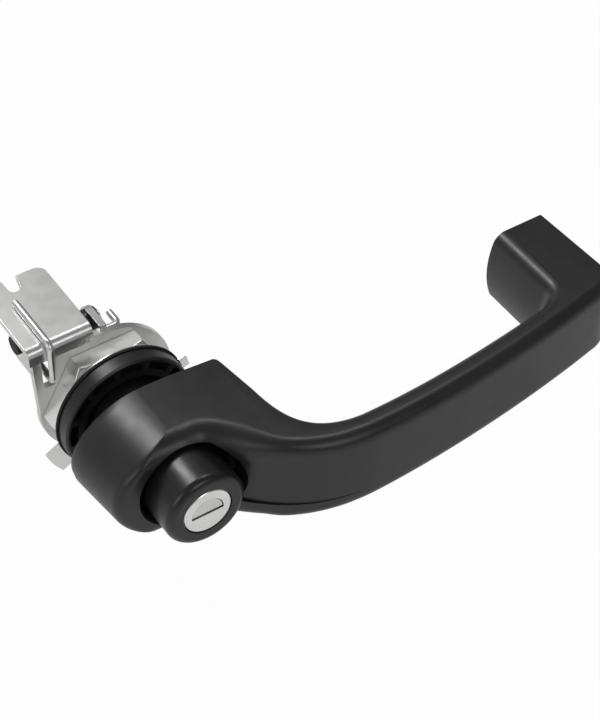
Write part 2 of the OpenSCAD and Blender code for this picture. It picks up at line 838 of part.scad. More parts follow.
// The lever spring: a leg over the lever, its coil round the bush and a leg out of the ear
leg_z = lever_top + wire_r + 0.1;
leg_y = lip_y - wire_r - 0.1;
leg_bend = 2.5;
leg_low = pivot_z - coil_r;
leg_end_x = ear_right_x + 5.6;
leg_reach = 9;
function arc(c, u, v, r, n, from = 0, to = 90) =
    [for (i = [0:n]) let (a = lerp(from, to, i / n)) c + r * (u * cos(a) + v * sin(a))];
spring_path = concat(
    [[slot_x, pivot_y + 10.4, leg_z]],
    arc([slot_x, leg_y + leg_bend, leg_z - leg_bend], [0, 0, 1], [0, -1, 0], leg_bend, 5),
    arc([slot_x, leg_y + leg_bend, leg_low + leg_bend], [0, -1, 0], [0, 0, -1], leg_bend, 5),
    [for (i = [0:44])
        let (a = -90 + i / 44 * coil_turns * 360)
        [
            lerp(slot_x, coil_end_x, i / 44),
            pivot_y + coil_r * cos(a), pivot_z + coil_r * sin(a)
        ]],
    arc(
        [coil_end_x + wire_bend, pivot_y + coil_r * cos(leave_a), pivot_z + coil_r * sin(leave_a)],
        [-1, 0, 0], [0, -sin(leave_a), cos(leave_a)], wire_bend, 4, 22.5
    ),
    arc([leg_end_x - wire_bend, leave_y + wire_bend, leave_z], [0, -1, 0], [1, 0, 0], wire_bend, 4),
    [[leg_end_x, leave_y + leg_reach - 3, leave_z]]
);

module torsion_spring() {
    color(steel)
        wire(spring_path, wire_r, 8);
}

handle_body();
foot_insert();
barrel();
button_cap();
plunger();
plunger_seal();
return_spring();
plunger_clip();
lock_plug();
key_shutter();
shutter_pin();
wafer_tumblers();
tailpiece();
clamp_ring();
ring_gasket();
tab_washer();
hex_nut();
bracket();
pivot_pin();
pivot_bush();
pivot_collar();
pin_clip();
rest_buffer();
trip_lever();
torsion_spring();
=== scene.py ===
"""Push-button handle latch: the finished surfaces of a grab handle, its lock and its trip lever.

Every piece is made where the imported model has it, in metres: X along the handle,
Y through the door from outside to inside, Z up.
"""

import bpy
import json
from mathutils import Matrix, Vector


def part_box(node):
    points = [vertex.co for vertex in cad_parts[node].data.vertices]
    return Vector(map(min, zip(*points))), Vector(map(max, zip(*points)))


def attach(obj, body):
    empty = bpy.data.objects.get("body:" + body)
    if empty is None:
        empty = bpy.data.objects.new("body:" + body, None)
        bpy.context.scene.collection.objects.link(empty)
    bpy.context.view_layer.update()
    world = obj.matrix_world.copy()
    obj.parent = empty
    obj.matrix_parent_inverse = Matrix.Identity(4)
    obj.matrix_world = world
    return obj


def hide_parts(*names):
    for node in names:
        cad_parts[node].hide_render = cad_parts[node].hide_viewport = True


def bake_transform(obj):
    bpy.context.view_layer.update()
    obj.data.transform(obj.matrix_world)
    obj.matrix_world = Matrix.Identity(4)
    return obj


bl_info = {
    "name": "Push-button Handle Latch",
    "version": (1, 0, 0),
    "blender": (4, 5, 0),
    "location": "View3D > Sidebar > Handle Latch",
    "description": "Builds a grab handle with a locking push button and a sprung trip lever",
    "category": "Add Mesh",
}

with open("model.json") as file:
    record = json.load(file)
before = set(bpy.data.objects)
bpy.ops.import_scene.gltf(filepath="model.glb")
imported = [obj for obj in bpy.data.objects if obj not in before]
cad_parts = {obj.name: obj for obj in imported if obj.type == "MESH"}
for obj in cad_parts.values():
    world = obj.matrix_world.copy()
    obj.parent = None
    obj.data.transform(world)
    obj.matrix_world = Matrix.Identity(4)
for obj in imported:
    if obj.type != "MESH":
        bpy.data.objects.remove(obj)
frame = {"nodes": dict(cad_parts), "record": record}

import json
import math
from typing import NamedTuple

import bmesh
import bpy
from bpy.props import FloatProperty, FloatVectorProperty, IntProperty, PointerProperty
from bpy.types import Operator, Panel, PropertyGroup
from mathutils import Matrix, Vector

MM = 0.001
UP = Vector((0, 0, 1))
FRONT = Vector((0, -1, 0))
RIGHT = Vector((1, 0, 0))


def length(name, description, default):
    """A size in metres, written here in millimetres."""
    return FloatProperty(
        name=name, description=description, default=default * MM, min=0, unit="LENGTH", precision=5
    )


def colour(name, description, default):
    """A colour as red, green and blue."""
    return FloatVectorProperty(
        name=name, description=description, default=default, size=3, min=0, max=1, subtype="COLOR"
    )


def share(name, description, default):
    """A share from nothing to all."""
    return FloatProperty(
        name=name, description=description, default=default, min=0, max=1, subtype="FACTOR"
    )


def strength(name, description, default, unit="NONE"):
    """A strength from nothing upwards."""
    return FloatProperty(name=name, description=description, default=default, min=0, unit=unit)


# What a user can change


class HandleSizes(PropertyGroup):
    """Sizes of the moulded handle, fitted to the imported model."""

    foot_pitch: length("Foot pitch", "Button axis to the foot's fixing axis", 144.5)
    boss_height: length("Boss height", "Height of the handle at the button", 38)
    foot_height: length("Foot height", "Height of the handle at the foot", 29)
    boss_overhang: length("Boss overhang", "Reach of the boss past the button axis", 26)
    boss_depth: length("Boss depth", "Door to the boss's front face", 27)
    boss_side: length("Boss side", "Button axis to the side that faces the fingers", 28.4)
    grip_reach: length("Grip reach", "Door to the front of the grip", 51.6)
    grip_thickness: length("Grip thickness", "Thickness of the grip at mid length", 12.4)
    foot_width: length("Foot width", "Width of the foot along the handle", 22)
    boss_fillet: length("Boss fillet", "Fillet round the front of the boss", 6)
    fillet_swell: length("Fillet swell", "How much wider that fillet grows over the button", 2)
    grip_fillet: length("Grip fillet", "Fillet along the front of the grip", 4.6)
    finger_crown: length("Finger crown", "Bulge of the finger side", 2.4)
    scoop_depth: length("Scoop depth", "Depth of the thumb scoop", 1.1)
    scoop_height: length("Scoop height", "Height of the thumb scoop", 19)
    well_radius: length("Well radius", "Radius of the well round the button", 15)
    dish_radius: length("Dish radius", "Radius of the dish that leads into the well", 16.9)
    bore_radius: length("Bore radius", "Radius of the bore for the barrel", 14.05)
    insert_radius: length("Insert radius", "Radius of the foot's threaded insert", 4.5)
    insert_length: length("Insert length", "Length of the foot's threaded insert", 15)


class SpringSizes(PropertyGroup):
    """Sizes of the two wire springs."""

    push_wire: length("Push wire", "Wire diameter of the button's spring", 1.4)
    push_radius: length("Push radius", "Mean radius of the button's spring", 10.9)
    push_front: length("Push front", "Front of the button's spring, ahead of the door", 33.8)
    push_rear: length("Push rear", "Rear of the button's spring, ahead of the door", 14.8)
    push_turns: IntProperty(
        name="Push turns", description="Turns of the button's spring", default=6, min=2
    )
    lever_wire: length("Lever wire", "Wire diameter of the lever's spring", 2.4)
    lever_coil: length("Lever coil", "Mean radius of the lever spring's coil", 5.6)
    pivot_y: length("Pivot behind the door", "Lever's pivot axis, behind the seat", 32.1)
    pivot_z: length("Pivot height", "Lever's pivot axis, above the button axis", 21.8)


class EdgeSizes(PropertyGroup):
    """How far the edges of the metal and plastic pieces are broken."""

    pressed: length("Pressed edge", "Edge of a pressed sheet piece", 0.22)
    turned: length("Turned edge", "Edge of a turned or cast piece", 0.16)
    moulded: length("Moulded edge", "Edge of a moulded piece", 0.2)
    fine: length("Fine edge", "Edge of a small piece", 0.06)


class FinishColours(PropertyGroup):
    """Colours and finishes of the materials."""

    handle_black: colour("Handle black", "Moulded plastic of the handle", (0.0115, 0.0115, 0.012))
    button_black: colour("Button black", "Plastic of the button and ring", (0.0075, 0.0075, 0.0078))
    rubber_black: colour("Rubber black", "Gasket, seal and buffer", (0.006, 0.006, 0.006))
    zinc: colour("Zinc plate", "Plated steel of the bracket, lever and nut", (0.86, 0.86, 0.85))
    lock_satin: colour("Lock satin", "Satin nickel of the lock's face", (0.87, 0.87, 0.86))
    spring_steel: colour("Spring steel", "Bright drawn wire", (0.72, 0.72, 0.72))
    brass: colour("Brass", "Foot insert and wafers", (0.62, 0.44, 0.17))
    handle_roughness: share("Handle roughness", "Roughness of the handle's surface", 0.35)
    metal_roughness: share("Metal roughness", "Roughness of the plated pieces", 0.24)


class StageSettings(PropertyGroup):
    """The floor, the lamps and the camera."""

    floor_height: FloatProperty(
        name="Floor height", description="Height of the floor", default=-0.062, unit="LENGTH"
    )
    floor_colour: colour("Floor colour", "Colour of the floor", (0.62, 0.62, 0.62))
    floor_glow: share("Floor glow", "How much of the floor is plain white to the camera", 0.97)
    room_level: strength("Room level", "Strength of the room's light", 0.42)
    gloss_level: strength("Gloss level", "Brightness of the room in reflections", 0.5)
    dim_share: share("Dim share", "How bright the room's dim side is in reflections", 0.4)
    key_power: strength("Key power", "Power of the lamp behind the boss", 3.2, "POWER")
    fill_power: strength("Fill power", "Power of the lamp in front", 1.6, "POWER")
    side_power: strength("Side power", "Power of the lamp on the left", 0.9, "POWER")
    top_power: strength("Top power", "Power of the lamp above", 1.2, "POWER")
    lens: FloatProperty(
        name="Lens", description="Focal length on a sensor 36 mm high", default=110.513,
        min=10, unit="CAMERA"
    )


# Helpers for meshes


def between(a, b, part):
    """The number that lies this part of the way from a to b."""
    return a + (b - a) * part


def body_of(node):
    """The body that a node of the model belongs to."""
    for body, nodes in frame["record"]["behaviour"]["bodies"].items():
        if node in nodes:
            return body
    raise RuntimeError(f"{node} is in no body")


def as_piece(name, mesh, material, body, node):
    """An object from a mesh in place of a node of the model, attached to a body when one is given."""
    mesh.materials.append(finish(material))
    piece = bpy.data.objects.new(name, mesh)
    bpy.context.scene.collection.objects.link(piece)
    if body:
        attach(piece, body)
    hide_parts(node)
    return piece


def mesh_from(name, bm, crease):
    """A smooth mesh from bm, sharp where its faces meet at more than crease degrees."""
    bmesh.ops.recalc_face_normals(bm, faces=bm.faces)
    for face in bm.faces:
        face.smooth = True
    for edge in bm.edges:
        edge.smooth = len(edge.link_faces) != 2 or edge.calc_face_angle() < math.radians(crease)
    mesh = bpy.data.meshes.new(name)
    bm.to_mesh(mesh)
    bm.free()
    return mesh


def grid_of_rings(bm, rings, closed=False):
    """Quads between rings of points, each ring closed, the whole row closed too if closed."""
    rows = [[bm.verts.new(p) for p in ring] for ring in rings]
    pairs = list(zip(rows, rows[1:])) + ([(rows[-1], rows[0])] if closed else [])
    for low, high in pairs:
        for i in range(len(low)):
            j = (i + 1) % len(low)
            bm.faces.new((low[i], low[j], high[j], high[i]))
    return rows


def turned_about_y(profile, segments, centre=(0, 0)):
    """A closed solid turned about an axis along Y from [radius, y] points, in millimetres."""
    bm = bmesh.new()
    rings = []
    for s in range(segments):
        a = 2 * math.pi * s / segments
        rings.append([
            Vector((centre[0] + r * math.cos(a), y, centre[1] + r * math.sin(a))) * MM
            for r, y in profile
        ])
    grid_of_rings(bm, rings, closed=True)
    bmesh.ops.remove_doubles(bm, verts=bm.verts, dist=1e-7)
    bmesh.ops.dissolve_degenerate(bm, edges=bm.edges, dist=1e-8)
    bmesh.ops.recalc_face_normals(bm, faces=bm.faces)
    return bm


def cut_away(piece, cutters):
    """Takes closed meshes out of a piece, one after the other, and applies the cuts."""
    held = []
    for i, bm in enumerate(cutters):
        mesh = bpy.data.meshes.new(f"cutter_{i}")
        bm.to_mesh(mesh)
        bm.free()
        cutter = bpy.data.objects.new(f"cutter_{i}", mesh)
        bpy.context.scene.collection.objects.link(cutter)
        cut = piece.modifiers.new(f"cut_{i}", "BOOLEAN")
        cut.operation = "DIFFERENCE"
        cut.solver = "EXACT"
        cut.object = cutter
        held.append(cutter)
    bpy.context.view_layer.update()
    shape = piece.evaluated_get(bpy.context.evaluated_depsgraph_get())
    cut_mesh = bpy.data.meshes.new_from_object(shape)
    piece.modifiers.clear()
    piece.data = cut_mesh
    for cutter in held:
        bpy.data.objects.remove(cutter)


def round_edges(piece, width, crease):
    """Rounds a piece's edges by width where its faces meet at more than crease degrees."""
    rounding = piece.modifiers.new("broken_edges", "BEVEL")
    rounding.limit_method = "ANGLE"
    rounding.angle_limit = math.radians(crease)
    rounding.width = width
    rounding.segments = 3
    return rounding


def broken_edges(node, material, width):
    """The node's own shape with its sharp edges rounded by width, in metres."""
    bm = bmesh.new()
    bm.from_mesh(frame["nodes"][node].data)
    bmesh.ops.remove_doubles(bm, verts=bm.verts, dist=3e-6)
    bmesh.ops.dissolve_limit(
        bm, angle_limit=math.radians(0.4), verts=bm.verts, edges=bm.edges
    )
    for face in bm.faces:
        face.smooth = True
    for edge in bm.edges:
        edge.smooth = True
    mesh = bpy.data.meshes.new(node)
    bm.to_mesh(mesh)
    bm.free()
    piece = as_piece(f"{node}.finish", mesh, material, body_of(node), node)
    round_edges(piece, width, 30).miter_outer = "MITER_ARC"
    flats = piece.modifiers.new("flat_faces", "WEIGHTED_NORMAL")
    flats.keep_sharp = False
    flats.weight = 80


def rounded_end(station, inwards):
    """Stations that close a wire in a low dome; inwards is 1 at its start and -1 at its end."""
    place, direction, across, radius = station
    rings, height = 5, radius * 0.5
    dome = []
    for k in range(rings):
        a = math.pi / 2 * (k + 0.15) / rings
        lift = direction * height * (1 - math.sin(a)) * inwards
        dome.append((place + lift, direction, across, radius * math.sin(a)))
    return dome


def tube(path, radius, sides):
    """A round wire along a path of points with rounded ends, without twist."""
    bm = bmesh.new()
    count = len(path)
    along = [
        (path[min(i + 1, count - 1)] - path[max(i - 1, 0)]).normalized() for i in range(count)
    ]
    side = along[0].orthogonal().normalized()
    stations = []
    for i in range(count):
        side = (side - along[i] * side.dot(along[i])).normalized()
        stations.append((path[i], along[i], side.copy(), radius))
    clear = radius * 0.55
    inner = [
        s for s in stations
        if (s[0] - path[0]).length > clear and (s[0] - path[-1]).length > clear
    ]
    lead, tail = rounded_end(stations[0], 1), rounded_end(stations[-1], -1)
    rings = []
    for place, direction, across, r in lead + inner + tail[::-1]:
        up = direction.cross(across)
        angles = [2 * math.pi * j / sides for j in range(sides)]
        rings.append([place + (across * math.cos(a) + up * math.sin(a)) * r for a in angles])
    rows = grid_of_rings(bm, rings)
    bm.faces.new(rows[0])
    bm.faces.new(rows[-1])
    return bm


def arc_points(centre, u, v, radius, count, start=0, end=90):
    """Points of an arc round a centre, from start to end degrees, turning from u towards v."""
    points = []
    for i in range(count + 1):
        a = math.radians(between(start, end, i / count))
        points.append(centre + (u * math.cos(a) + v * math.sin(a)) * radius)
    return points


# The handle's form


class EdgePoint(NamedTuple):
    """A point of the handle's outline in plan: its place, outward normal, fillet and crown."""

    x: float
    y: float
    out_x: float = 0
    out_y: float = 0
    fillet: float = 0
    crown: float = 0


def cubic(p, t):
    """The point at t of a curve with four control points."""
    s = 1 - t
    return tuple(
        s ** 3 * p[0][k] + 3 * s * s * t * p[1][k] + 3 * s * t * t * p[2][k] + t ** 3 * p[3][k]
        for k in (0, 1)
    )


def slope(p, t):
    """The direction at t of a curve with four control points."""
    s = 1 - t
    return tuple(
        3 * s * s * (p[1][k] - p[0][k]) + 6 * s * t * (p[2][k] - p[1][k])
        + 3 * t * t * (p[3][k] - p[2][k])
        for k in (0, 1)
    )


def straight(a, b):
    """A straight stretch as a curve with four control points."""
    return [tuple(between(a[k], b[k], part) for k in (0, 1)) for part in (0, 1 / 3, 2 / 3, 1)]


def run_along(p, fillets, crowns, count, start, end=1.0):
    """Points of the outline along a curve, while its fillet and crown change evenly."""
    points = []
    for i in range(count + 1):
        t = between(start, end, i / count)
        x, y = cubic(p, t)
        dx, dy = slope(p, t)
        speed = math.hypot(dx, dy)
        points.append(EdgePoint(
            x, y, dy / speed, -dx / speed, between(*fillets, t), between(*crowns, t)
        ))
    return points


def softer_max(a, b, width):
    """The larger of two numbers, eased into one another where they differ by less than width."""
    overlap = max(width - abs(a - b), 0)
    return max(a, b) + (overlap * overlap / width / 4 if width > 1e-6 else 0)


class HandlePlan:
    """The handle's outline in plan and its height, in millimetres."""

    # How finely the curves are divided
    fine = 5
    # The rounding beside the seat, where the grip begins and the fillet along its back
    seat_round = 1.7
    grip_x = 54.7
    back_fillet = 2.6
    # Left of narrow_x the boss draws in towards its top and underside
    narrow_x = 0.8
    end_round = 0.995
    upper_fullness = 0.5
    lower_fullness = 0.46
    # How softly that end meets the fillet, and how far out it is at its softest
    end_softness = 3.4
    softness_run = 12
    # Where the front fillet is swollen, and where it eases into the grip's fillet
    swell_from = -2.01
    swell_to = 45
    ease_from = 12
    ease_run = 14
    # Where the height starts to fall from the boss to the foot, and how slowly
    fall_from = 2
    fall_run = 30

    def __init__(self, s):
        mm = {key: getattr(s, key) / MM for key in s.__annotations__}
        self.__dict__.update(mm)
        self.left = -self.boss_overhang
        self.front = -self.boss_depth
        self.reach = -self.grip_reach
        self.finger = self.reach + self.grip_thickness
        self.foot_in = self.foot_pitch - self.foot_width / 2
        self.foot_out = self.foot_pitch + self.foot_width / 2
        self.grip_end = (self.foot_out - 7.5, self.reach + 11.3)
        self.back_end = (54, self.finger - 1.1)
        self.s_curve = [
            (5, self.front), (12.6, self.front), (20.7, self.reach), (self.grip_x, self.reach),
        ]
        self.front_edge = [
            self.eased(p) for p in self.left_end() + self.front_of_grip() + self.end_of_foot()
        ]
        self.outline = self.front_edge + self.back_of_grip() + self.back_of_boss()

    def run(self, curve, fillets, crowns, steps, past_joint=0.12):
        """The outline along a curve, from just past its joint with the one before."""
        return run_along(curve, fillets, crowns, steps * self.fine, past_joint / self.fine)

    def left_end(self):
        """From the seat up the boss's left side and round its front corner to the s curve."""
        corner = self.boss_fillet - 1
        corner_x, corner_y = self.left + 2.1, self.front + corner
        side_y = -3
        points = [
            EdgePoint(self.left + self.seat_round, 0), EdgePoint(self.left + 0.4, -0.8),
            EdgePoint(self.left, side_y),
        ]
        for y in (-7, -11, -15, -19):
            part = (side_y - y) / (side_y - corner_y)
            points.append(EdgePoint(between(self.left, corner_x, part), y))
        steps = 5 * self.fine
        for i in range(steps + 1):
            a = math.radians(180 + 90 * i / steps)
            lift = max(-math.sin(a), 0.0)
            points.append(EdgePoint(
                corner_x + corner * (1 + math.cos(a)), corner_y + corner * math.sin(a),
                0, math.sin(a), self.boss_fillet * lift ** 0.7,
            ))
        before_curve = straight((-2, self.front), self.s_curve[0])
        return points + self.run(before_curve, (self.boss_fillet,) * 2, (0, 0), 1, 0)

    def front_of_grip(self):
        """Along the s curve and the front of the grip."""
        grip_front = [
            self.s_curve[3], (82, self.reach), (self.foot_pitch - 26.5, self.reach + 4.6),
            self.grip_end,
        ]
        boss, grip = self.boss_fillet, self.grip_fillet
        return (
            self.run(self.s_curve, (boss, grip), (0, 0), 9)
            + self.run(grip_front, (grip, grip), (0, 0), 7)
        )

    def end_of_foot(self):
        """Round the corner at the foot and down its outer side to the door."""
        bulge_x, side_y, fillet = self.foot_out + 1.7, self.reach + 21.6, 2
        corner = [
            self.grip_end, (self.foot_out - 2.3, self.reach + 12.5),
            (self.foot_out + 2.1, self.reach + 15.6), (bulge_x, side_y),
        ]
        points = self.run(corner, (self.grip_fillet, fillet), (0, 0), 4, 0.2)
        for k in range(1, 7):
            points.append(EdgePoint(
                between(bulge_x, self.foot_out, k / 6), between(side_y, 0, k / 6),
                1, 0, fillet - 0.1 * k,
            ))
        return points

    def back_of_grip(self):
        """From the door up the foot's inner side and along the back of the grip."""
        foot_in, fillet, corner_y = self.foot_in, 3.2, self.finger + 12.6
        crown, foot_crown = self.finger_crown, self.finger_crown * 1.3
        corner = [
            (foot_in, corner_y), (foot_in, self.finger + 9.2),
            (foot_in - 2.2, self.finger + 6.7), (foot_in - 6.2, self.finger + 5.9),
        ]
        grip_back = [
            corner[3], (self.foot_pitch - 38.5, self.finger + 2.5), (80, self.finger - 1.1),
            self.back_end,
        ]
        return (
            [EdgePoint(foot_in, corner_y * k / 6, -1, 0, fillet, foot_crown) for k in range(6)]
            + self.run(corner, (fillet, self.back_fillet), (foot_crown, crown), 4, 0)
            + self.run(grip_back, (self.back_fillet,) * 2, (crown, crown), 6)
        )

    def back_of_boss(self):
        """Round into the boss's finger side, down to the door and back along the seat."""
        bow_x, bow_y = self.boss_side + 2.4, self.finger + 22
        foot_y, fillet, crown = -2, 1.4, 0.2
        corner = [
            self.back_end, (bow_x + 7.7, self.finger - 1.1), (bow_x + 2.2, self.finger + 5.7),
            (bow_x, bow_y),
        ]
        points = self.run(corner, (self.back_fillet, fillet), (self.finger_crown, crown), 7)
        for k in range(1, 6):
            points.append(EdgePoint(
                between(bow_x, self.boss_side, k / 5), between(bow_y, foot_y, k / 5),
                1, 0, fillet - 0.04 * k, crown - 0.02 * k,
            ))
        points.append(EdgePoint(self.boss_side - 0.6, -0.6, 0.7, 0, 1.2))
        seat_right, seat_left = self.boss_side - 2, self.left + self.seat_round + 5
        return points + [EdgePoint(between(seat_right, seat_left, k / 24), 0) for k in range(25)]

    def eased(self, p):
        """The front edge's rounding, widest over the button and soon narrow along the grip."""
        if not self.swell_from < p.x < self.swell_to or p.out_y >= 0:
            return p
        along = min(max((p.x - self.ease_from) / self.ease_run, 0), 1)
        wide = self.boss_fillet + self.fillet_swell
        return p._replace(fillet=between(wide, self.grip_fillet, along * along * (3 - 2 * along)))

    def half_height(self, x):
        """Half of the handle's height at x."""
        spread = 1 / (1 + ((max(x, self.fall_from) - self.fall_from) / self.fall_run) ** 2)
        return between(self.foot_height, self.boss_height, spread) / 2

    def rounded_off(self, fillet, x, level):
        """How far an edge fillet of this radius draws the side in at a level."""
        over = fillet - self.half_height(x) * (1 - abs(level))
        return 0 if over <= 0 else fillet - math.sqrt(max(fillet ** 2 - over * over, 0))

    def on_level(self, p, level):
        """Where the outline's point p lies at a level from -1, the underside, to 1, the top."""
        wide = self.boss_fillet + (self.fillet_swell if level > 0 else 0)
        inset = self.rounded_off(min(p.fillet, wide), p.x, level) + p.crown * level * level
        x, y = p.x - p.out_x * inset, p.y - p.out_y * inset
        height = level * self.half_height(x)
        if x < self.narrow_x:
            front = self.front + self.rounded_off(wide, p.x, level)
            softness = self.end_softness * min((self.narrow_x - x) / self.softness_run, 1)
            y = softer_max(y, front, softness)
            fullness = self.upper_fullness if level > 0 else self.lower_fullness
            narrowed = (1 - self.end_round * level * level) ** fullness
            x = between(self.narrow_x, x, narrowed)
        return Vector((x, y, height)) * MM


def handle_blank(plan):
    """The moulding before its dish, well and bores are cut."""
    bm = bmesh.new()
    levels = 44
    heights = [math.sin(math.radians(-90 + 180 * k / levels)) for k in range(levels + 1)]
    rows = grid_of_rings(bm, [[plan.on_level(p, h) for p in plan.outline] for h in heights])
    split = len(plan.front_edge)
    for row in (rows[0], rows[-1]):
        close_between_edges(bm, row, split)
    bmesh.ops.remove_doubles(bm, verts=bm.verts, dist=2e-6)
    bmesh.ops.recalc_face_normals(bm, faces=bm.faces)
    return bm


def close_between_edges(bm, row, split):
    """Triangles across a ring, from its front edge to its back edge, which starts at split."""
    i, j = 0, len(row) - 1
    while i < split - 1 or j > split:
        if j == split or (i < split - 1 and row[i + 1].co.x <= row[j - 1].co.x):
            bm.faces.new((row[i], row[i + 1], row[j]))
            i += 1
        else:
            bm.faces.new((row[i], row[j - 1], row[j]))
            j -= 1


def scoop_cutter(plan):
    """The shallow hollow that leads the thumb from the grip to the button."""
    count = 48
    side = []
    for i, p in enumerate(run_along(plan.s_curve, (0, 0), (0, 0), count, 0.2, 0.97)):
        depth = plan.scoop_depth * (1 - i / count)
        side.append((p.x - p.out_x * depth, p.y - p.out_y * depth))
    outside, past_button = plan.reach - 9, 12
    side += [(plan.grip_x, outside), (past_button, outside)]
    bm = bmesh.new()
    half = plan.scoop_height / 2
    low, high = (
        [bm.verts.new(Vector((x, y, z)) * MM) for x, y in side] for z in (-half, half)
    )
    bm.faces.new(low)
    bm.faces.new(high)
    for i in range(len(side)):
        j = (i + 1) % len(side)
        bm.faces.new((low[i], low[j], high[j], high[i]))
    bmesh.ops.recalc_face_normals(bm, faces=bm.faces)
    return bm


def button_recess_cutter(plan):
    """The dish, its lead into the well, the well and the bore behind it."""
    dish, well, bore = plan.dish_radius, plan.well_radius, plan.bore_radius
    ahead, past_seat = plan.front - 35, 1
    dish_edge, dish_foot, well_floor = plan.front - 0.5, plan.front + 2.6, -11
    lead = 0.5
    profile = [
        (0, ahead), (dish, ahead), (dish, dish_edge),
        ((dish + well) / 2, (dish_edge + dish_foot) / 2),
        (well + lead * 0.6, dish_foot - lead * 0.7), (well + 0.08, dish_foot - 0.02),
        (well, dish_foot + lead), (well, well_floor), (bore, well_floor),
        (bore, past_seat), (0, past_seat),
    ]
    return turned_about_y(profile, 192)


# Materials


def mapped(tree, value, low, high, from_low=0.0, from_high=1.0):
    """A node that gives low to high while a value runs from from_low to from_high."""
    made = tree.nodes.new("ShaderNodeMapRange")
    made.inputs["From Min"].default_value = from_low
    made.inputs["From Max"].default_value = from_high
    made.inputs["To Min"].default_value = low
    made.inputs["To Max"].default_value = high
    tree.links.new(value, made.inputs["Value"])
    return made


def tinted(colour, factor):
    """A colour made darker or lighter by a factor."""
    return tuple(min(c * factor, 1) for c in colour)


class Shader:
    """A node material under construction."""

    def __init__(self, name, metallic, ior=1.5):
        self.material = bpy.data.materials.new(name)
        self.material.use_nodes = True
        self.tree = self.material.node_tree
        self.surface = self.tree.nodes["Principled BSDF"].inputs
        self.surface["Metallic"].default_value = metallic
        self.surface["IOR"].default_value = ior
        self.place = self.tree.nodes.new("ShaderNodeTexCoord").outputs["Object"]

    def stretched(self, scale):
        """The place on the piece, scaled along X, Y and Z."""
        mapping = self.tree.nodes.new("ShaderNodeMapping")
        mapping.inputs["Scale"].default_value = scale
        self.tree.links.new(self.place, mapping.inputs["Vector"])
        return mapping.outputs["Vector"]

    def noise(self, scale, detail, roughness=0.55, place=None):
        """Noise with so many waves to a metre."""
        made = self.tree.nodes.new("ShaderNodeTexNoise")
        made.inputs["Scale"].default_value = scale
        made.inputs["Detail"].default_value = detail
        made.inputs["Roughness"].default_value = roughness
        self.tree.links.new(place or self.place, made.inputs["Vector"])
        return made.outputs["Fac"]

    def base_colour(self, value, colour, darker, lighter):
        """Colours the surface by a value, from a darker to a lighter tint of a colour."""
        made = self.tree.nodes.new("ShaderNodeValToRGB")
        dark, light = made.color_ramp.elements
        dark.position, light.position = 0.35, 0.65
        dark.color = (*tinted(colour, darker), 1)
        light.color = (*tinted(colour, lighter), 1)
        self.tree.links.new(value, made.inputs["Fac"])
        self.tree.links.new(made.outputs["Color"], self.surface["Base Color"])

    def roughness(self, value, low, high):
        """Varies the surface's roughness by a value."""
        made = mapped(self.tree, value, low, high, 0.3, 0.7)
        self.tree.links.new(made.outputs["Result"], self.surface["Roughness"])

    def bump(self, height, distance, strength):
        """Raises the surface by a value, over a distance in metres."""
        made = self.tree.nodes.new("ShaderNodeBump")
        made.inputs["Distance"].default_value = distance
        made.inputs["Strength"].default_value = strength
        self.tree.links.new(height, made.inputs["Height"])
        self.tree.links.new(made.outputs["Normal"], self.surface["Normal"])


def moulded_plastic(name, colour, roughness, grain=0.00035):
    """Satin moulded plastic: a fine spark-eroded grain with soft cloudy gloss changes."""
    s = Shader(name, metallic=0.0)
    s.base_colour(s.noise(55, 2.0), colour, 0.88, 1.14)
    s.roughness(s.noise(120, 3.0), roughness - 0.035, roughness + 0.035)
    s.bump(s.noise(1 / grain, 2.0, 0.6), 0.000012, 0.55)
    return s.material


def plated_steel(name, colour, roughness, along, relief, streak=0.00025):
    """Zinc plate over rolled sheet: faint rolling lines, a mottled crystal and soft gloss changes."""
    s = Shader(name, metallic=1.0)
    stretch = [0.06 if axis == along else 1.0 for axis in "xyz"]
    s.base_colour(s.noise(60, 2.0), colour, 0.95, 1.04)
    s.roughness(s.noise(220, 2.0, 0.5), roughness - 0.015, roughness + 0.015)
    s.bump(s.noise(1 / streak, 3.0, 0.6, s.stretched(stretch)), 0.000002, relief)
    return s.material


def cast_zinc(name, colour, roughness):
    """Satin nickel over die-cast zinc: an even fine blast under soft gloss changes."""
    s = Shader(name, metallic=1.0)
    clouds = s.noise(140, 3.0)
    s.base_colour(clouds, colour, 0.95, 1.04)
    s.roughness(clouds, roughness - 0.03, roughness + 0.04)
    s.bump(s.noise(5200, 2.0, 0.6), 0.000008, 0.5)
    return s.material


def drawn_wire(name, colour, roughness):
    """Bright drawn spring wire with faint die marks."""
    s = Shader(name, metallic=1.0)
    marks = s.noise(2600, 3.0, 0.6)
    s.base_colour(s.noise(260, 2.0), colour, 0.88, 1.05)
    s.roughness(marks, roughness - 0.03, roughness + 0.04)
    s.bump(marks, 0.000002, 0.3)
    return s.material


def soft_rubber(name, colour):
    """Matt rubber with a faint bloom."""
    s = Shader(name, metallic=0.0, ior=1.45)
    bloom = s.noise(180, 4.0)
    s.base_colour(bloom, colour, 0.85, 1.35)
    s.roughness(bloom, 0.62, 0.78)
    s.bump(s.noise(1900, 3.0), 0.00002, 0.4)
    return s.material


def turned_brass(name, colour):
    """Turned brass with a light tarnish."""
    s = Shader(name, metallic=1.0)
    tarnish = s.noise(300, 3.0)
    s.base_colour(tarnish, colour, 0.75, 1.08)
    s.roughness(tarnish, 0.24, 0.36)
    s.bump(s.noise(5000, 2.0, 0.6, s.stretched((0.1, 1, 0.1))), 0.000005, 0.4)
    return s.material


FINISHES = {}


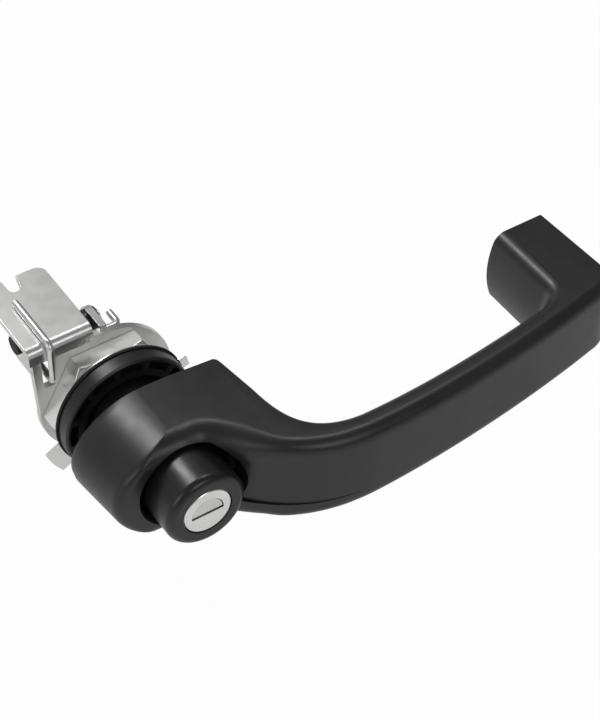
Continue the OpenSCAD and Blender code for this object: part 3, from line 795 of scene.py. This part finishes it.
def finish(name):
    """A material by name, made the first time it is asked for."""
    if name not in FINISHES:
        c = bpy.context.scene.latch_finish
        plastic, metal = c.handle_roughness, c.metal_roughness
        maker, *values = {
            "handle_plastic": (moulded_plastic, c.handle_black, plastic),
            "button_plastic": (moulded_plastic, c.button_black, plastic - 0.04, 0.0003),
            "ring_plastic": (moulded_plastic, c.button_black, plastic + 0.04, 0.0004),
            "rubber": (soft_rubber, c.rubber_black),
            # The lever's zinc is a darker copy of the same plate: painted shade that dims the lever
            # under the key lamp
            "lever_plate": (plated_steel, tinted(c.zinc, 0.79), metal + 0.08, "y", 0.06, 0.00012),
            # The bracket's zinc is a darker copy of the same plate: painted shade for the black parts
            # that it reflects
            "bracket_plate": (plated_steel, tinted(c.zinc, 0.72), metal + 0.06, "z", 0.08),
            "nut_plate": (plated_steel, c.zinc, metal + 0.06, "z", 0.06),
            "lock_satin": (cast_zinc, c.lock_satin, 0.3),
            # The shutter's satin is a darker copy of the lock's satin: painted shade that makes the
            # shutter show in the lock's face
            "lock_shutter": (cast_zinc, tinted(c.lock_satin, 0.86), 0.34),
            "lock_cast": (cast_zinc, tinted(c.lock_satin, 0.85), 0.38),
            "spring_wire": (drawn_wire, c.spring_steel, 0.3),
            "brass": (turned_brass, c.brass),
        }[name]
        FINISHES[name] = maker(name, *values)
    return FINISHES[name]


# Operators, one for each piece or group


class HANDLE_OT_moulding(Operator):
    """Moulded handle with its button recess, thumb scoop and foot bore"""

    bl_idname = "handle_latch.moulding"
    bl_label = "Handle moulding"

    def execute(self, context):
        plan = HandlePlan(context.scene.latch_handle)
        name, plastic = "handle_moulding", "handle_plastic"
        piece = as_piece(name, mesh_from(name, handle_blank(plan), 32), plastic, "frame", "handle_body")
        insert, deep, past_seat = plan.insert_radius, -plan.insert_length, 1
        bore = turned_about_y(
            [(0, deep), (insert, deep), (insert, past_seat), (0, past_seat)], 64, (plan.foot_pitch, 0)
        )
        cut_away(piece, [scoop_cutter(plan), button_recess_cutter(plan), bore])
        bm = bmesh.new()
        bm.from_mesh(piece.data)
        bmesh.ops.remove_doubles(bm, verts=bm.verts, dist=2e-6)
        piece.data = mesh_from(name, bm, 24)
        piece.data.materials.append(finish(plastic))
        return {"FINISHED"}


class HANDLE_OT_button(Operator):
    """Button cap, its plunger and what holds it in the barrel"""

    bl_idname = "handle_latch.button"
    bl_label = "Push button"

    def execute(self, context):
        edges = context.scene.latch_edges
        broken_edges("button_cap", "button_plastic", edges.moulded)
        broken_edges("plunger", "lock_cast", edges.turned)
        broken_edges("plunger_clip", "spring_wire", edges.turned)
        broken_edges("plunger_seal", "rubber", edges.fine)
        return {"FINISHED"}


class HANDLE_OT_lock(Operator):
    """Lock plug with its key slot, dust shutter, wafers and tailpiece"""

    bl_idname = "handle_latch.lock"
    bl_label = "Cylinder lock"

    def execute(self, context):
        edges = context.scene.latch_edges
        broken_edges("lock_plug", "lock_satin", edges.fine)
        # The shutter takes the darker copy of the satin, a painted shade
        broken_edges("key_shutter", "lock_shutter", edges.fine)
        broken_edges("shutter_pin", "spring_wire", edges.fine)
        broken_edges("wafer_tumblers", "brass", edges.fine)
        broken_edges("tailpiece", "lock_cast", edges.turned)
        return {"FINISHED"}


class HANDLE_OT_push_spring(Operator):
    """Return spring of the button, coiled from round wire"""

    bl_idname = "handle_latch.push_spring"
    bl_label = "Button spring"

    def execute(self, context):
        s = context.scene.latch_springs
        per_turn = 40
        steps = s.push_turns * per_turn
        path = []
        for i in range(steps + 1):
            a = 2 * math.pi * i / per_turn
            y = between(-s.push_front, -s.push_rear, i / steps)
            path.append(Vector((s.push_radius * math.cos(a), y, s.push_radius * math.sin(a))))
        mesh = mesh_from("button_spring", tube(path, s.push_wire / 2, 14), 60)
        piece = as_piece("button_spring", mesh, "spring_wire", None, "return_spring")
        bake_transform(piece)
        return {"FINISHED"}


class HANDLE_OT_lever_spring(Operator):
    """Torsion spring of the lever: a leg over the plate, a coil and a leg out of the ear"""

    bl_idname = "handle_latch.lever_spring"
    bl_label = "Lever spring"

    # Where the lever's plate and lip are, in millimetres, and how close the wire lies to them
    plate_top = 31.0
    lip_front = 20.2
    lever_gap = 0.1
    # The leg over the plate: its place along the handle, its rear end and its bends
    slot_x = -19.4
    past_pivot = 9.2
    over_bend = 2.5
    # The coil's turns and far end
    turns = 3 + 260 / 360
    coil_end_x = -7.5
    # The leg through the ear: its points, its bends and the straight end that turns back
    ear_x = (-4.5, -2.5, -0.5, 1.5, 3.5, 5.2)
    out_bend = 1.8
    end_x = 8.0
    tail = 6

    def execute(self, context):
        s = context.scene.latch_springs
        wire, coil = s.lever_wire / MM / 2, s.lever_coil / MM
        pivot_y, pivot_z = s.pivot_y / MM, s.pivot_z / MM
        path = self.front_leg(wire, pivot_y, pivot_z - coil)
        path += self.coiled(coil, pivot_y, pivot_z)
        path += self.rear_leg(coil, pivot_y, pivot_z)
        mesh = mesh_from("lever_spring", tube([p * MM for p in path], wire * MM, 24), 60)
        piece = as_piece("lever_spring", mesh, "spring_wire", None, "torsion_spring")
        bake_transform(piece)
        return {"FINISHED"}

    def front_leg(self, wire, pivot_y, low):
        """Over the lever's plate, down in front of its lip and back under it to the coil."""
        x, bend = self.slot_x, self.over_bend
        leg_z = self.plate_top + wire + self.lever_gap
        leg_y = self.lip_front - wire - self.lever_gap
        path = [Vector((x, pivot_y + self.past_pivot - 2 * k, leg_z)) for k in range(10)]
        path = [p for p in path if p.y > leg_y + bend + 0.5]
        path += arc_points(Vector((x, leg_y + bend, leg_z - bend)), UP, FRONT, bend, 12)
        path += [Vector((x, leg_y, leg_z - bend - 2 * k)) for k in (1, 2, 3, 4)]
        path += arc_points(Vector((x, leg_y + bend, low + bend)), FRONT, -UP, bend, 12)
        return path

    def coiled(self, coil, pivot_y, pivot_z):
        """The coil round the pivot, from its lowest point at the front leg."""
        path = []
        steps = 132
        for i in range(1, steps + 1):
            a = math.radians(-90) + i / steps * self.turns * 2 * math.pi
            x = between(self.slot_x, self.coil_end_x, i / steps)
            path.append(Vector((x, pivot_y + coil * math.cos(a), pivot_z + coil * math.sin(a))))
        return path

    def rear_leg(self, coil, pivot_y, pivot_z):
        """From the coil's end through the ear, then back beside it, as the model has it."""
        out, end_x = self.out_bend, self.end_x
        leave = math.radians(-90 + self.turns * 360)
        around = Vector((0, -math.sin(leave), math.cos(leave)))
        centre = Vector((
            self.coil_end_x + out, pivot_y + coil * math.cos(leave), pivot_z + coil * math.sin(leave)
        ))
        path = arc_points(centre, -RIGHT, around, out, 10, 12, 90)
        y, z = centre.y + around.y * out, centre.z + around.z * out
        path += [Vector((x, y, z)) for x in self.ear_x]
        path += arc_points(Vector((end_x - out, y + out, z)), FRONT, RIGHT, out, 12)
        path += [Vector((end_x, y + self.tail - k, z)) for k in (1, 0)]
        return path


class HANDLE_OT_clamp_stack(Operator):
    """Barrel, pocketed clamping ring, gasket, tab washer and hex nut"""

    bl_idname = "handle_latch.clamp_stack"
    bl_label = "Clamp stack"

    # The nut's chamfer: how far in from a flat it starts, and its depth at a corner
    chamfer_inset = 0.4 * MM
    chamfer_depth = 2 * MM

    def execute(self, context):
        edges = context.scene.latch_edges
        broken_edges("barrel", "button_plastic", edges.moulded)
        broken_edges("clamp_ring", "ring_plastic", edges.moulded)
        broken_edges("ring_gasket", "rubber", edges.turned)
        broken_edges("tab_washer", "nut_plate", edges.turned)
        self.add_nut(edges)
        return {"FINISHED"}

    def add_nut(self, edges):
        """The nut with its chamfer on the washer's side alone, flat where it meets the bracket."""
        (_, seat, _), (corner, back, flat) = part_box("hex_nut")
        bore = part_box("barrel")[1][0]
        face = flat - self.chamfer_inset
        drop = self.chamfer_depth / (corner - face)
        segments, sixth = 180, math.pi / 3
        sections = []
        for i in range(segments):
            a = 2 * math.pi * i / segments
            side = flat / math.cos(a % sixth - sixth / 2)
            points = (
                (bore, seat), (face, seat), (side, seat + (side - face) * drop), (side, back),
                (bore, back),
            )
            sections.append([Vector((r * math.cos(a), y, r * math.sin(a))) for r, y in points])
        bm = bmesh.new()
        grid_of_rings(bm, sections, closed=True)
        name = "hex_nut.finish"
        mesh = mesh_from(name, bm, 20)
        nut = as_piece(name, mesh, "nut_plate", body_of("hex_nut"), "hex_nut")
        round_edges(nut, edges.pressed, 25)


class HANDLE_OT_bracket(Operator):
    """Pressed bracket with its pivot pin, bush, collar, clip and buffer"""

    bl_idname = "handle_latch.bracket"
    bl_label = "Bracket and pivot"

    def execute(self, context):
        edges = context.scene.latch_edges
        # The bracket takes the darker copy of the zinc, a painted shade
        broken_edges("bracket", "bracket_plate", edges.pressed)
        broken_edges("pivot_pin", "spring_wire", edges.turned)
        broken_edges("pivot_bush", "button_plastic", edges.turned)
        broken_edges("pivot_collar", "button_plastic", edges.turned)
        broken_edges("pin_clip", "ring_plastic", edges.turned)
        broken_edges("rest_buffer", "rubber", edges.moulded)
        return {"FINISHED"}


class HANDLE_OT_lever(Operator):
    """Folded trip lever that a pull rod hooks into"""

    bl_idname = "handle_latch.lever"
    bl_label = "Trip lever"

    def execute(self, context):
        # The lever takes the darker copy of the zinc, a painted shade
        broken_edges("trip_lever", "lever_plate", context.scene.latch_edges.pressed)
        return {"FINISHED"}


class HANDLE_OT_foot_insert(Operator):
    """Threaded insert moulded into the foot"""

    bl_idname = "handle_latch.foot_insert"
    bl_label = "Foot insert"

    def execute(self, context):
        broken_edges("foot_insert", "brass", context.scene.latch_edges.fine)
        return {"FINISHED"}


class HANDLE_OT_stage(Operator):
    """Pale floor, soft lamps, a light room and the camera"""

    bl_idname = "handle_latch.stage"
    bl_label = "Stage"

    # Each lamp's name, place, target and size in metres, and the value that holds its power
    lamps = (
        ("key_lamp", (-0.09, 0.58, 0.78), (-0.01, 0, 0), (0.28, 0.24), "key_power"),
        ("front_lamp", (0.10, -0.90, 0.62), (0.05, -0.03, 0), (0.5, 0.4), "fill_power"),
        ("top_lamp", (0.38, 0.24, 0.88), (0.05, -0.03, 0), (0.34, 0.10), "top_power"),
        ("side_lamp", (-0.75, -0.25, 0.42), (0, 0, 0), (0.5, 0.4), "side_power"),
    )
    # The photo's viewpoint in metres and its angles in degrees
    camera_place = (-0.21396, -0.4183, 0.5074)
    azimuth = -33.11
    elevation = 45.53
    sensor = 36
    # Where reflections find the room's bright side, and the floor's shade along X
    bright_side = (-0.72, 0.56, -0.40)
    bright_span = (-0.45, 0.65)
    floor_span = (-0.1, 0.35)

    def execute(self, context):
        settings = context.scene.latch_stage
        self.add_camera(context, settings)
        self.add_floor(context, settings)
        self.add_room(context, settings)
        for name, place, target, size, power in self.lamps:
            self.add_lamp(context, name, Vector(place), Vector(target), size, getattr(settings, power))
        context.scene.view_settings.view_transform = "Standard"
        return {"FINISHED"}

    def add_camera(self, context, settings):
        data = bpy.data.cameras.new("photo_camera")
        data.sensor_fit = "VERTICAL"
        data.sensor_width = self.sensor
        data.sensor_height = self.sensor
        data.lens = settings.lens
        data.clip_start, data.clip_end = 0.01, 20
        camera = bpy.data.objects.new("photo_camera", data)
        context.scene.collection.objects.link(camera)
        azimuth, elevation = math.radians(self.azimuth), math.radians(self.elevation)
        back = Vector((
            math.sin(azimuth) * math.cos(elevation), -math.cos(azimuth) * math.cos(elevation),
            math.sin(elevation),
        ))
        right = Vector((math.cos(azimuth), math.sin(azimuth), 0))
        up = back.cross(right)
        place = Matrix((right, up, back)).transposed().to_4x4()
        place.translation = Vector(self.camera_place)
        camera.matrix_world = place
        context.scene.camera = camera

    def add_floor(self, context, settings):
        bm = bmesh.new()
        bmesh.ops.create_grid(bm, x_segments=8, y_segments=8, size=3)
        bmesh.ops.translate(bm, verts=bm.verts, vec=(0, 0, settings.floor_height))
        mesh = bpy.data.meshes.new("floor")
        bm.to_mesh(mesh)
        bm.free()
        mesh.materials.append(self.floor_material(settings))
        floor = bpy.data.objects.new("floor", mesh)
        context.scene.collection.objects.link(floor)

    def floor_material(self, settings):
        """A matt pale floor, nearly white to the camera and shaded along X in reflections."""
        material = bpy.data.materials.new("pale_floor")
        material.use_nodes = True
        tree = material.node_tree
        surface = tree.nodes["Principled BSDF"]
        surface.inputs["Base Color"].default_value = (*settings.floor_colour, 1)
        surface.inputs["Roughness"].default_value = 0.9
        surface.inputs["Specular IOR Level"].default_value = 0.1
        glow = tree.nodes.new("ShaderNodeEmission")
        glow.inputs["Color"].default_value = (1, 1, 1, 1)
        glow.inputs["Strength"].default_value = 1
        place = tree.nodes.new("ShaderNodeNewGeometry")
        axes = tree.nodes.new("ShaderNodeSeparateXYZ")
        tree.links.new(place.outputs["Position"], axes.inputs["Vector"])
        bright = settings.gloss_level
        shade = mapped(
            tree, axes.outputs["X"], bright, bright * settings.dim_share, *self.floor_span
        )
        both = tree.nodes.new("ShaderNodeMixShader")
        self.levels_by_ray(
            tree, settings.floor_glow, shade.outputs["Result"], 0.0, both.inputs["Fac"]
        )
        tree.links.new(surface.outputs["BSDF"], both.inputs[1])
        tree.links.new(glow.outputs["Emission"], both.inputs[2])
        tree.links.new(both.outputs["Shader"], tree.nodes["Material Output"].inputs["Surface"])
        return material

    def levels_by_ray(self, tree, to_camera, to_gloss, otherwise, socket):
        """Feeds a socket one level for camera rays, one for gloss and glass, and one for the rest."""
        rays = tree.nodes.new("ShaderNodeLightPath").outputs
        gloss = tree.nodes.new("ShaderNodeMath")
        gloss.operation = "MAXIMUM"
        tree.links.new(rays["Is Glossy Ray"], gloss.inputs[0])
        tree.links.new(rays["Is Transmission Ray"], gloss.inputs[1])
        level = mapped(tree, gloss.outputs["Value"], otherwise, 1.0)
        tree.links.new(to_gloss, level.inputs["To Max"])
        seen = mapped(tree, rays["Is Camera Ray"], 0.0, to_camera)
        tree.links.new(level.outputs["Result"], seen.inputs["To Min"])
        tree.links.new(seen.outputs["Result"], socket)

    def add_room(self, context, settings):
        """A white room to the camera, brighter in reflections towards its bright side."""
        world = bpy.data.worlds.new("light_room")
        world.use_nodes = True
        tree = world.node_tree
        sky = tree.nodes["Background"]
        sky.inputs["Color"].default_value = (1, 1, 1, 1)
        direction = tree.nodes.new("ShaderNodeTexCoord")
        towards = tree.nodes.new("ShaderNodeVectorMath")
        towards.operation = "DOT_PRODUCT"
        towards.inputs[1].default_value = self.bright_side
        tree.links.new(direction.outputs["Generated"], towards.inputs[0])
        bright = settings.gloss_level
        shade = mapped(
            tree, towards.outputs["Value"], bright * settings.dim_share, bright, *self.bright_span
        )
        shade.interpolation_type = "SMOOTHSTEP"
        self.levels_by_ray(
            tree, 1.0, shade.outputs["Result"], settings.room_level, sky.inputs["Strength"]
        )
        context.scene.world = world

    def add_lamp(self, context, name, place, target, size, power):
        data = bpy.data.lights.new(name, "AREA")
        data.shape = "RECTANGLE"
        data.size, data.size_y = size
        data.energy = power
        lamp = bpy.data.objects.new(name, data)
        context.scene.collection.objects.link(lamp)
        lamp.location = place
        lamp.rotation_mode = "QUATERNION"
        lamp.rotation_quaternion = (target - place).to_track_quat("-Z", "Y")


class HANDLE_PT_sidebar(Panel):
    """Lists the steps and the values that they use"""

    bl_idname = "HANDLE_PT_sidebar"
    bl_label = "Push-button Handle Latch"
    bl_space_type = "VIEW_3D"
    bl_region_type = "UI"
    bl_category = "Handle Latch"

    def draw(self, context):
        layout = self.layout
        for step in STEPS:
            layout.operator(step.bl_idname)
        for key, title, _ in GROUPS:
            box = layout.box()
            box.label(text=title)
            group = getattr(context.scene, key)
            for name in group.__annotations__:
                box.prop(group, name)


GROUPS = (
    ("latch_handle", "Handle", HandleSizes),
    ("latch_springs", "Springs", SpringSizes),
    ("latch_edges", "Edges", EdgeSizes),
    ("latch_finish", "Finish", FinishColours),
    ("latch_stage", "Stage", StageSettings),
)
STEPS = (
    HANDLE_OT_moulding,
    HANDLE_OT_foot_insert,
    HANDLE_OT_button,
    HANDLE_OT_lock,
    HANDLE_OT_push_spring,
    HANDLE_OT_clamp_stack,
    HANDLE_OT_bracket,
    HANDLE_OT_lever,
    HANDLE_OT_lever_spring,
    HANDLE_OT_stage,
)


def register():
    for key, _, group in GROUPS:
        bpy.utils.register_class(group)
        setattr(bpy.types.Scene, key, PointerProperty(type=group))
    for step in STEPS:
        bpy.utils.register_class(step)
    bpy.utils.register_class(HANDLE_PT_sidebar)


def unregister():
    bpy.utils.unregister_class(HANDLE_PT_sidebar)
    for step in reversed(STEPS):
        bpy.utils.unregister_class(step)
    for key, _, group in reversed(GROUPS):
        delattr(bpy.types.Scene, key)
        bpy.utils.unregister_class(group)


def main():
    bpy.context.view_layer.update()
    register()
    for group_name, step_name in (step.bl_idname.split(".") for step in STEPS):
        getattr(getattr(bpy.ops, group_name), step_name)()
    bpy.context.view_layer.update()


if __name__ == "__main__":
    main()
